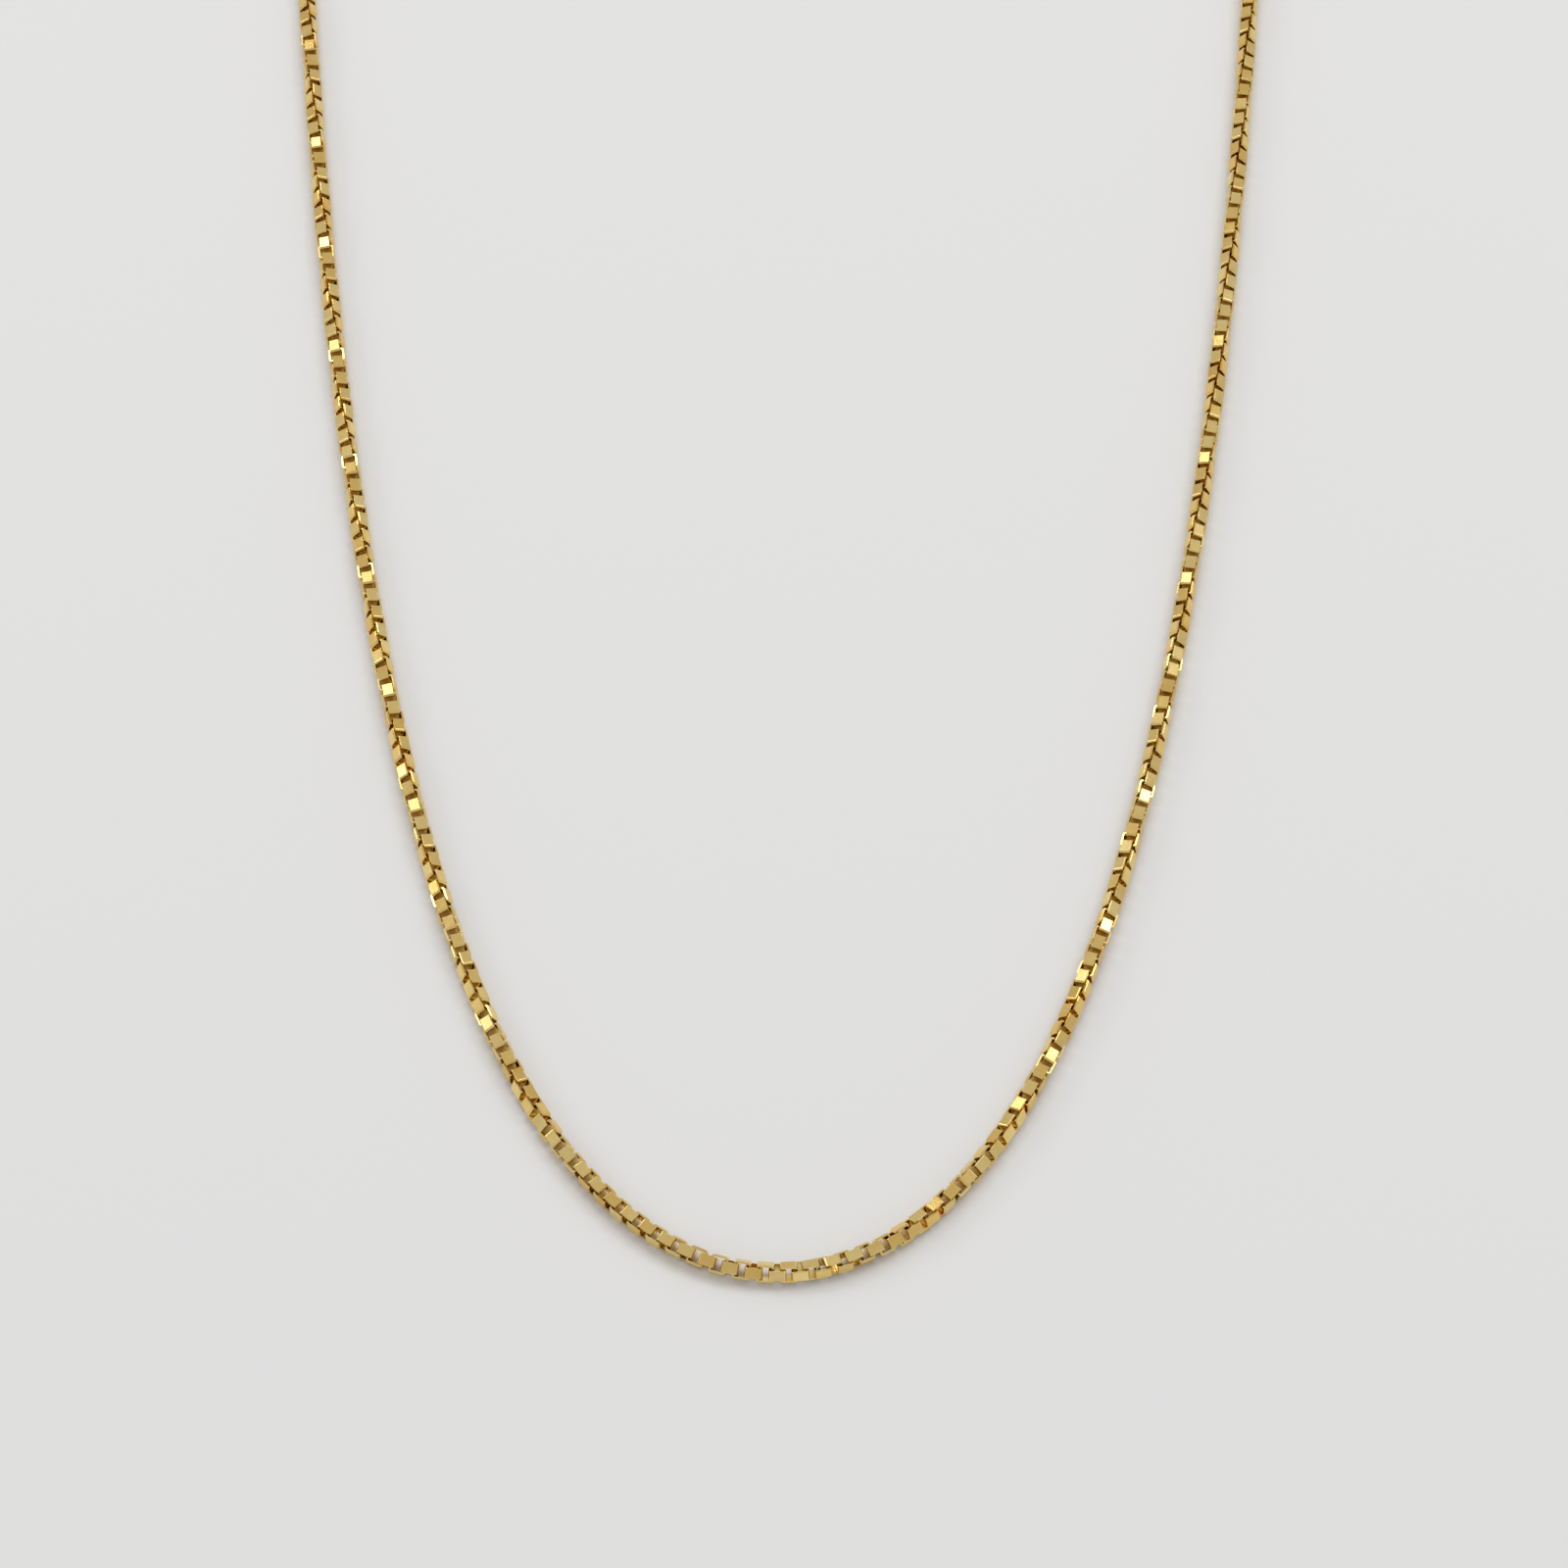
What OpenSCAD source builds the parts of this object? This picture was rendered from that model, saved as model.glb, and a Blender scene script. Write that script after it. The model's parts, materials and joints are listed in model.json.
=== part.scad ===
// Box chain necklace, laid out on a table with its clasp undone.
// +Z is up and the table is z = 0. The strands run along Y, the front of the necklace is at low Y,
// and the origin is under the middle of the whole.

/* [Chain] */
// Groups of links along each side of the front group
side_groups = 22; // [18:1:22]
// Links in one group
group_links = 11; // [9:2:11]
// Distance from one link to the next left of the front, where the chain is drawn out more
left_pitch = 0.89; // [0.86:0.005:0.91]
// Distance from one link to the next right of the front
right_pitch = 0.85; // [0.84:0.005:0.9]
// Length of a link over its two end bars
link_l = 1.34; // [1.33:0.01:1.36]
// Width of a link over its two side bars
link_w = 1.38; // [1.36:0.01:1.4]
// Width of the flat strip that a link is bent from
strip_w = 0.84; // [0.7:0.01:0.86]
// Thickness of the strip
strip_t = 0.17; // [0.14:0.01:0.17]
// Size of the bevel at a link's bent corners
link_bevel = 0.1; // [0.05:0.01:0.14]

/* [Lay of the chain] */
// Radius of the curve at the front of the necklace
front_r = 14.1; // [12:0.1:24]
// How far left of the middle, along the chain, the stretch without any twist begins
flat_from = 17.5; // [14:0.1:20]
// How far left of the middle that stretch ends
flat_to = 9.4; // [8:0.1:12]
// How far right of the middle the chain has made its first quarter turn
quarter_s = 5.6; // [4:0.1:8]
// How far right of the middle the front's tighter twist ends
front_s = 17.3; // [15:0.1:24]
// Turn of the links there
front_roll = 205; // [180:1:220]
// Quarter turns of twist in the left side of the chain
left_quarters = 17; // [15:2:19]
// Quarter turns of twist in the right side of the chain
right_quarters = 17; // [15:2:19]
// Height of the chain's middle over the table
chain_z = 0.81; // [0.81:0.01:1]

/* [Rings] */
// Wire of the jump ring
jump_wire = 0.45; // [0.35:0.01:0.5]
// Inside radius of the jump ring
jump_r = 0.95; // [0.92:0.01:1]
// Wire of the catch ring
catch_wire = 0.5; // [0.45:0.01:0.52]
// Inside radius of the catch ring
catch_r = 1.2; // [1.15:0.01:1.3]

/* [Clasp] */
// Height of the clasp's middle over the table
clasp_z = 1.1; // [1.1:0.01:1.15]
// Thickness of the clasp body
clasp_t = 2.2; // [1.8:0.05:2.2]
// Radius of the clasp's round nose
nose_r = 2.15; // [2:0.05:2.3]
// Radius of the opening in the nose
mouth_r = 1.2; // [1.1:0.05:1.25]
// Distance from the clasp's tail to the centre of its nose
nose_x = 6.6; // [6.4:0.1:7]
// Height of the slot that the trigger turns in
slot_h = 1.0; // [0.8:0.05:1.1]
// Radius of the pin
pin_r = 0.3; // [0.25:0.01:0.32]
// Gap between the clasp's moving pieces
play = 0.04; // [0.03:0.01:0.06]

/* [Hidden] */
$fn = 48;
function asinh(u) = ln(u + sqrt(u * u + 1));

// The chain lies in a catenary: x, y and heading at a distance s along it from the front
function lay_x(s) = front_r * asinh(s / front_r);
function lay_y(s) = sqrt(front_r * front_r + s * s) - front_r;
function heading(s) = atan2(s, front_r);

links = (2 * side_groups + 1) * group_links;
left_last = (links - 1) / 2 * left_pitch;
right_last = (links - 1) / 2 * right_pitch;
quarter = 90;

// The links' turn about the chain at a distance s along it, from lying flat
function roll(s) = lookup(s, [
    [-left_last, left_quarters * quarter],
    [-flat_from, 0],
    [-flat_to, 0],
    [quarter_s, quarter],
    [front_s, front_roll],
    [right_last, right_quarters * quarter]
]);
function link_s(i) =
    let (from_middle = i - (links - 1) / 2)
    from_middle * (from_middle < 0 ? left_pitch : right_pitch);
function end_s(side) = side < 0 ? -left_last : right_last;

// Distances along an end piece's own axis, from the middle of the last link
bar_x = link_l / 2 - strip_t / 2;
bar_gap = 0.02;
function ring_seat(inside_r) =
    sqrt(pow(inside_r - bar_gap, 2) - pow(strip_w / 2, 2)) - strip_t / 2;
function ring_reach(inside_r, wire) = ring_seat(inside_r) + inside_r + wire / 2;
jump_rise = asin((clasp_z - chain_z) / ring_reach(jump_r, jump_wire));
catch_dip = -asin((chain_z - catch_wire / 2) / ring_reach(catch_r, catch_wire));

// The swivel eye: a loop on a headed post
eye_wire = 0.5;
eye_r = 0.6;
eye_gap = 0.03;
post_r = 0.32;
head_r = 0.5;
head_l = 0.4;
jump_far_x = bar_x + ring_reach(jump_r, jump_wire) * cos(jump_rise);
eye_x = jump_far_x - jump_wire / 2 + eye_r - eye_gap;
tail_gap = 0.15;
tail_x = eye_x + eye_r + eye_wire + tail_gap;
neck_l = 0.6;
head_room = 0.7;
head_bite = 0.2;

// The clasp body, from its tail at x = 0
tail_r = 0.9;
mouth_x = nose_x + 0.1;
mouth_back_x = 4.6;
mouth_back_r = 0.75;
slot_x = 1.9;
slot_end_x = 4.7;
slot_wall_y = 0.55;
pin_x = 2.9;
pin_y = -0.45;
lug_r = 0.62;
cheek_r = 1.05;
gate_y = -0.35;
blade_y = -0.55;
blade_reach = 4.75;
hook_gap = 0.08;
leaf_t = 0.12;
leaf_w = 0.7;
leaf_bend_x = 3.4;

// Where the whole necklace's middle is, measured from the front of the chain
clasp_end = tail_x + nose_x + nose_r;
end_y = lay_y(left_last) + clasp_end * sin(heading(left_last));
front_edge = 0.8;
mid_y = (end_y - front_edge) / 2;
left_x = -lay_x(left_last) - (tail_x + nose_x) * cos(heading(left_last)) - nose_r;
right_x = lay_x(right_last) + (bar_x + ring_seat(catch_r)) * cos(heading(right_last))
    + catch_r + catch_wire;
mid_x = (left_x + right_x) / 2;

gold = "#d9b45b";
pale_gold = "#e6c878";
dark_gold = "#b98f3c";

function two(n) = n < 10 ? str("0", n) : str(n);
function group_name(g) =
    g == 0 ? "chain_front" : str(g < 0 ? "chain_left_" : "chain_right_", two(abs(g)));

// A link's outline, flat, with its length along X and its side bars' faces towards Y
module link_outline() {
    x = link_l / 2;
    y = link_w / 2;
    b = link_bevel;
    difference() {
        polygon([
            [x - b, -y], [x, b - y], [x, y - b], [x - b, y],
            [b - x, y], [-x, y - b], [-x, b - y], [b - x, -y]
        ]);
        square([link_l - 2 * strip_t, link_w - 2 * strip_t], center = true);
    }
}

module chain_link(i) {
    s = link_s(i);
    translate([lay_x(s), lay_y(s), chain_z])
        rotate([roll(s) + quarter * (i % 2), 0, heading(s)])
            linear_extrude(strip_w, center = true)
                link_outline();
}

module chain_group(g) {
    first = (g + side_groups) * group_links;
    color(gold)
        translate([-mid_x, -mid_y, 0])
            for (i = [first : first + group_links - 1])
                chain_link(i);
}

// Places a piece at the end of the left (-1) or right (1) strand, with X out along the strand
module at_end(side) {
    s = end_s(side);
    out = side < 0 ? 180 : 0;
    translate([lay_x(s) - mid_x, lay_y(s) - mid_y, 0])
        rotate([0, 0, heading(s) + out])
            children();
}

// A closed wire ring through the last link, swung up or down about that link's end bar
module end_ring(inside_r, wire, swing) {
    translate([bar_x, 0, chain_z])
        rotate([0, -swing, 0])
            translate([ring_seat(inside_r), 0, 0])
                wire_ring(inside_r, wire);
}

module wire_ring(inside_r, wire) {
    rotate_extrude()
        translate([inside_r + wire / 2, 0])
            circle(d = wire, $fn = 24);
}

module jump_ring() {
    color(pale_gold)
        at_end(-1)
            end_ring(jump_r, jump_wire, jump_rise);
}

module catch_ring() {
    color(pale_gold)
        at_end(1)
            end_ring(catch_r, catch_wire, catch_dip);
}

module in_clasp() {
    at_end(-1)
        translate([tail_x, 0, clasp_z])
            children();
}

module along_x(r, length) {
    rotate([0, 90, 0])
        cylinder(r = r, h = length);
}

module swivel_eye() {
    color(pale_gold)
        in_clasp() {
            translate([eye_x - tail_x, 0, 0])
                rotate([90, 0, 0])
                    wire_ring(eye_r, eye_wire);
            translate([eye_x - tail_x + eye_r + eye_wire / 2, 0, 0])
                along_x(post_r, neck_l + tail_x - eye_x - eye_r - eye_wire / 2 + head_bite);
            translate([neck_l + play, 0, 0])
                along_x(head_r, head_l);
        }
}

// Two circles on the X axis with their outer tangents, like a hull but with true arcs
module tapered(x1, r1, x2, r2) {
    lean = asin((r2 - r1) / (x2 - x1));
    translate([x1, 0])
        circle(r1);
    translate([x2, 0])
        circle(r2, $fn = 72);
    polygon([
        for (side = [-1, 1], end = [side, -side])
            end < 0
                ? [x1 - r1 * sin(lean), side * r1 * cos(lean)]
                : [x2 - r2 * sin(lean), side * r2 * cos(lean)]
    ]);
}

// The outer outline of the whole clasp, from above
module clasp_outline() {
    tapered(tail_r, tail_r, nose_x, nose_r);
}

module mouth() {
    tapered(mouth_back_x, mouth_back_r, mouth_x, mouth_r);
}

// Where the trigger's blade swings: beyond the round cheeks, as far as the hook's tip
module gate() {
    difference() {
        intersection() {
            translate([pin_x, pin_y])
                circle(blade_reach + hook_gap, $fn = 72);
            translate([pin_x, gate_y - nose_r])
                square([nose_x, nose_r]);
        }
        translate([pin_x, pin_y])
            circle(cheek_r);
    }
}

module clasp_body() {
    color(gold)
        in_clasp()
            difference() {
                linear_extrude(clasp_t, center = true)
                    difference() {
                        clasp_outline();
                        mouth();
                        gate();
                    }
                translate([slot_x, -nose_r, -slot_h / 2])
                    cube([slot_end_x - slot_x, nose_r + slot_wall_y, slot_h]);
                translate([-neck_l, 0, 0])
                    along_x(post_r + play, 2 * neck_l);
                translate([neck_l, 0, 0])
                    along_x(head_r + play, head_room);
                translate([pin_x, pin_y, -clasp_t])
                    cylinder(r = pin_r, h = 2 * clasp_t);
            }
}

// The trigger: a lug on the pin, a thumb tab, and a blade that reaches the hook's tip
module clasp_trigger() {
    color(gold)
        in_clasp()
            difference() {
                linear_extrude(slot_h - 2 * play, center = true) {
                    translate([pin_x, pin_y])
                        circle(lug_r);
                    trigger_blade();
                    thumb_tab();
                }
                translate([pin_x, pin_y, -clasp_t])
                    cylinder(r = pin_r + play, h = 2 * clasp_t);
            }
}

module trigger_blade() {
    difference() {
        intersection() {
            clasp_outline();
            translate([pin_x, pin_y])
                circle(blade_reach, $fn = 72);
            translate([pin_x, blade_y - nose_r])
                square([nose_x, nose_r]);
        }
        mouth();
    }
}

module thumb_tab() {
    translate([pin_x, pin_y])
        polygon([
            [-0.55, -0.2], [-0.95, -1.9], [-0.8, -2.05], [-0.5, -1.95], [0.45, -0.95], [0.5, -0.2]
        ]);
}

module clasp_pin() {
    color(dark_gold)
        in_clasp()
            translate([pin_x, pin_y, -clasp_t / 2])
                cylinder(r = pin_r, h = clasp_t);
}

// The leaf spring: it lies along the slot's wall, and its bent end bears on the trigger
module clasp_spring() {
    top = slot_wall_y - play;
    color(dark_gold)
        in_clasp()
            linear_extrude(leaf_w, center = true)
                polygon([
                    [slot_x + play, top], [slot_x + play, top - leaf_t], [leaf_bend_x, top - leaf_t],
                    [leaf_bend_x + 0.35, 0.12], [leaf_bend_x + 0.47, 0.2], [leaf_bend_x + leaf_t, top]
                ]);
}

for (g = [-side_groups : side_groups])
    chain_group(g);
jump_ring();
swivel_eye();
clasp_body();
clasp_trigger();
clasp_pin();
clasp_spring();
catch_ring();
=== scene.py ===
import json
import math

import bmesh
import bpy
from mathutils import Matrix, Vector


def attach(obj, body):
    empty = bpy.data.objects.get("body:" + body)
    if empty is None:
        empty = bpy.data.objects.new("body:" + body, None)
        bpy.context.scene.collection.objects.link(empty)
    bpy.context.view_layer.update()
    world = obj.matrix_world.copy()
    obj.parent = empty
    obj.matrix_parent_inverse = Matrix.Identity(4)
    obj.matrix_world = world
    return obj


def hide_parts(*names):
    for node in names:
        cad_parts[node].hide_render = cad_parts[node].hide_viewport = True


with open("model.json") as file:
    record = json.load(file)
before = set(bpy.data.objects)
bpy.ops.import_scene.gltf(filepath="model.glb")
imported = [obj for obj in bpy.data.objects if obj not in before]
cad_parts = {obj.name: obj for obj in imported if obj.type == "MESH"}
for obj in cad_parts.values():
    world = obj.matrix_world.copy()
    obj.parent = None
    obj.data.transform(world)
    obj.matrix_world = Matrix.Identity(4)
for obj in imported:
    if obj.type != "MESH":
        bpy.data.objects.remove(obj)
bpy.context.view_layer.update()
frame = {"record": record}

# ---------------------------------------------------------------------------------------------
# The chain: 495 square links of polished yellow gold. Each link is a flat drawn strip, bent
# round a former into a box and soldered shut beside a bend of one end bar. Each link passes
# through the next with a quarter turn between them, and the whole chain is barrel polished.
# ---------------------------------------------------------------------------------------------

MM = 0.001
SIDE_GROUPS = 22
GROUP_LINKS = 11
ALL_LINKS = (2 * SIDE_GROUPS + 1) * GROUP_LINKS
LEFT_PITCH = 0.89
RIGHT_PITCH = 0.85
LINK_LENGTH = 1.34
LINK_WIDTH = 1.38
STRIP_WIDTH = 0.84
STRIP_THICK = 0.17
BEND_RADIUS = 0.19
BEND_STEPS = 2
BEND_STEP = 90 / BEND_STEPS
EDGE_ROUND = 0.03

# How the chain lies: a catenary, flat for a stretch left of the front and twisting both ways
# from there, with distances along the chain from its middle and turns from lying flat
FRONT_RADIUS = 14.1
FLAT_FROM = 17.5
FLAT_TO = 9.4
QUARTER_S = 5.6
FRONT_S = 17.3
FRONT_ROLL = 205
LEFT_QUARTERS = 17
RIGHT_QUARTERS = 17
LEFT_LAST = (ALL_LINKS - 1) / 2 * LEFT_PITCH
RIGHT_LAST = (ALL_LINKS - 1) / 2 * RIGHT_PITCH
LEFT_TWIST = LEFT_QUARTERS * 90 / (LEFT_LAST - FLAT_FROM)
FIRST_TWIST = 90 / (QUARTER_S + FLAT_TO)
FRONT_TWIST = (FRONT_ROLL - 90) / (FRONT_S - QUARTER_S)
RIGHT_TWIST = (RIGHT_QUARTERS * 90 - FRONT_ROLL) / (RIGHT_LAST - FRONT_S)

# How far a link is turned at random about the chain, and how much of that about its other axes
LOOSENESS = math.radians(1.1)
TILT_SHARE = 0.6
LINK_SEED = 5

# How gold looks close up: sizes in millimetres or per millimetre, depths in microns. A range is
# the stretch of a noise that is used; a shade runs from the deep colour at 0 to the pale at 1
MICRON = 1e-6
MOTTLE_PER_MM = 0.9
MOTTLE_RANGE = (0.3, 0.7)
MOTTLE_SHADE = 0.6
HAZE_PER_MM = 7
HAZE_RANGE = (0.3, 0.75)
HAZE_SHARE = 0.06
SCRATCH_PER_MM = 2.2
SCRATCH_RANGE = (0.56, 0.72)
SCRATCH_STRETCH = (1, 9, 3)
SCRATCH_LEAN = (0.4, 0.7, 0.5)
SCRATCH_ROUGHNESS = 0.05
LINK_MOTTLE_SHARE = 0.6
LINK_SHADE = 0.55
LINK_ROUGHNESS = 0.05
SEAM_WIDTH = 0.03
SEAM_DEPTH = 6
SEAM_ROUGHNESS = 0.2
SEAM_SHADE = 0.25
DRAWN_STRETCH = (0.6, 30, 1)
DRAWN_DEPTH = 0.35

mounts = {mount["name"]: Vector(mount["pos_m"]) for mount in frame["record"]["mounts"]}
front = mounts["pendant_seat"]


def skin(rings, loop=False):
    """A closed mesh over rings of points, each joined to the next; open ends are capped."""
    build = bmesh.new()
    rows = [[build.verts.new(point) for point in ring] for ring in rings]
    following = rows[1:] + rows[:1] if loop else rows[1:]
    for here, there in zip(rows, following):
        for i in range(len(here)):
            j = (i + 1) % len(here)
            build.faces.new((here[i], here[j], there[j], there[i]))
    if not loop:
        build.faces.new(list(reversed(rows[0])))
        build.faces.new(rows[-1])
    bmesh.ops.recalc_face_normals(build, faces=build.faces)
    mesh = bpy.data.meshes.new("skin")
    build.to_mesh(mesh)
    build.free()
    mesh.polygons.foreach_set("use_smooth", [True] * len(mesh.polygons))
    return mesh


def bent_link():
    """One link in metres, its length along X, and the place of its seam along the strip in mm."""
    half = STRIP_WIDTH / 2
    section = [
        (0, half - EDGE_ROUND),
        (EDGE_ROUND, half),
        (STRIP_THICK, half),
        (STRIP_THICK, -half),
        (EDGE_ROUND, -half),
        (0, EDGE_ROUND - half),
    ]
    reach = Vector((LINK_LENGTH / 2 - BEND_RADIUS, LINK_WIDTH / 2 - BEND_RADIUS, 0))
    outward, rings, along = [], [], []
    gone = reach.y
    for corner in range(4):
        for part in range(BEND_STEPS + 1):
            turn = math.radians(90 * corner + BEND_STEP * part)
            out = Vector((math.cos(turn), math.sin(turn), 0))
            sides = (1, -1, -1, 1)[corner], (1, 1, -1, -1)[corner]
            centre = Vector((reach.x * sides[0], reach.y * sides[1], 0))
            ring = [centre + out * (BEND_RADIUS - d) + Vector((0, 0, z)) for d, z in section]
            rings.append([point * MM for point in ring])
            outward.append(out)
            along.append(gone + BEND_RADIUS * math.radians(BEND_STEP) * part)
        gone = along[-1] + 2 * (reach.x if corner % 2 == 0 else reach.y)
    mesh = skin(rings, loop=True)

    count = len(section)
    faces = []
    for k in range(count):
        here, there = Vector(section[k]), Vector(section[(k + 1) % count])
        side = Vector((there.y - here.y, here.x - there.x)).normalized()
        away = (here + there) / 2 - Vector((STRIP_THICK / 2, 0))
        faces.append(side if side.dot(away) > 0 else -side)
    round_section = [0]
    for k in range(count):
        step = Vector(section[k]) - Vector(section[(k + 1) % count])
        round_section.append(round_section[-1] + step.length)
    normals, places = [], []
    for face in mesh.polygons:
        row, k = divmod(face.index, count)
        for v in face.vertices:
            station, point = divmod(v, count)
            normals.append(faces[k].y * Vector((0, 0, 1)) - faces[k].x * outward[station])
            wrapped = row == len(rings) - 1 and station == 0
            u = gone + along[0] - reach.y if wrapped else along[station]
            w = round_section[k] if point == k else round_section[k + 1]
            places.append((u, w))
    strip = mesh.uv_layers.new(name="strip")
    for loop, place in enumerate(places):
        strip.data[loop].uv = place
    mesh.normals_split_custom_set(normals)
    return mesh, gone


class Socket:
    """An output of a node; arithmetic on it adds Math nodes to its tree."""

    def __init__(self, graph, output):
        self.graph = graph
        self.output = output

    def math(self, operation, *values):
        return self.graph.add("ShaderNodeMath", {"operation": operation}, dict(enumerate(values)))

    def __add__(self, other):
        return self.math("ADD", self, other)

    def __sub__(self, other):
        return self.math("SUBTRACT", self, other)

    def __mul__(self, other):
        return self.math("MULTIPLY", self, other)

    def __truediv__(self, other):
        return self.math("DIVIDE", self, other)

    def __mod__(self, other):
        return self.math("MODULO", self, other)

    def __pow__(self, other):
        return self.math("POWER", self, other)

    def __abs__(self):
        return self.math("ABSOLUTE", self)

    def above(self, floor):
        return self.math("MAXIMUM", self, floor)

    def below(self, ceiling):
        return self.math("MINIMUM", self, ceiling)


class Graph:
    """A node tree: add() makes any node from its type, its settings and its sockets' values."""

    def __init__(self, tree):
        self.tree = tree
        tree.nodes.clear()

    def add(self, kind, settings=None, sockets=None, out=0):
        node = self.tree.nodes.new(kind)
        for name, value in (settings or {}).items():
            setattr(node, name, value)
        for key, value in (sockets or {}).items():
            if isinstance(value, Socket):
                self.tree.links.new(value.output, node.inputs[key])
            else:
                node.inputs[key].default_value = value
        return Socket(self, node.outputs[out]) if len(node.outputs) else node

    def other(self, socket, name):
        return Socket(self, socket.output.node.outputs[name])


def spread(graph, value, low, high, to_low, to_high):
    """The value's stretch from low to high, moved to another stretch and held within it."""
    values = {"Value": value, "From Min": low, "From Max": high}
    values |= {"To Min": to_low, "To Max": to_high}
    return graph.add("ShaderNodeMapRange", {"clamp": True}, values)


def mixed(graph, factor, a, b):
    """A colour between a and b, which go into a mix node's sockets 6 and 7."""
    values = {0: factor, 6: (*a, 1), 7: (*b, 1)}
    return graph.add("ShaderNodeMix", {"data_type": "RGBA"}, values, out=2)


def gold(name, deep, pale, roughness, ripple, scratch_um, tone=None, seam=None):
    """Polished yellow gold: soft mottling, fine scratches, and a ripple left by the tools."""
    material = bpy.data.materials.new(name)
    material.use_nodes = True
    graph = Graph(material.node_tree)
    place = graph.add("ShaderNodeTexCoord", out="Object")

    def noise(per_mm, detail, vector=place):
        values = {"Vector": vector, "Scale": per_mm / MM, "Detail": detail}
        return graph.add("ShaderNodeTexNoise", {}, values)

    mottle = noise(MOTTLE_PER_MM, 3)
    haze = noise(HAZE_PER_MM, 4)
    values = {"Vector": place, "Scale": SCRATCH_STRETCH, "Rotation": SCRATCH_LEAN}
    long_way = graph.add("ShaderNodeMapping", {}, values)
    strokes = noise(SCRATCH_PER_MM, 5, long_way)
    scratches = spread(graph, strokes, *SCRATCH_RANGE, 0, 1)
    shade = spread(graph, mottle, *MOTTLE_RANGE, 0, MOTTLE_SHADE)
    rough = spread(graph, haze, *HAZE_RANGE, *roughness) + scratches * SCRATCH_ROUGHNESS
    height = mottle * ripple + haze * (ripple * HAZE_SHARE) + scratches * scratch_um
    if tone:
        each = graph.add("ShaderNodeAttribute", {"attribute_name": tone}, out="Fac")
        shade = shade * LINK_MOTTLE_SHARE + each * LINK_SHADE
        rough = rough + each * LINK_ROUGHNESS
    if seam:
        strip = graph.add("ShaderNodeUVMap", {"uv_map": "strip"})
        split = graph.add("ShaderNodeSeparateXYZ", {}, {"Vector": strip})
        gap = spread(graph, abs(split - seam), 0.0, SEAM_WIDTH, 1, 0)
        drawn = graph.add("ShaderNodeMapping", {}, {"Vector": strip, "Scale": DRAWN_STRETCH})
        lines = graph.add("ShaderNodeTexNoise", {}, {"Vector": drawn, "Scale": 1.0, "Detail": 3})
        height = height - gap * SEAM_DEPTH + lines * DRAWN_DEPTH
        rough = rough + gap * SEAM_ROUGHNESS
        shade = shade - gap * SEAM_SHADE
    colour = mixed(graph, shade.above(0).below(1), deep, pale)
    bump = graph.add("ShaderNodeBump", {}, {"Strength": 1.0, "Distance": MICRON, "Height": height})
    shader = graph.add(
        "ShaderNodeBsdfPrincipled",
        {},
        {"Base Color": colour, "Metallic": 1.0, "Roughness": rough, "Normal": bump},
    )
    graph.add("ShaderNodeOutputMaterial", {}, {"Surface": shader})
    return material


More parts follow.
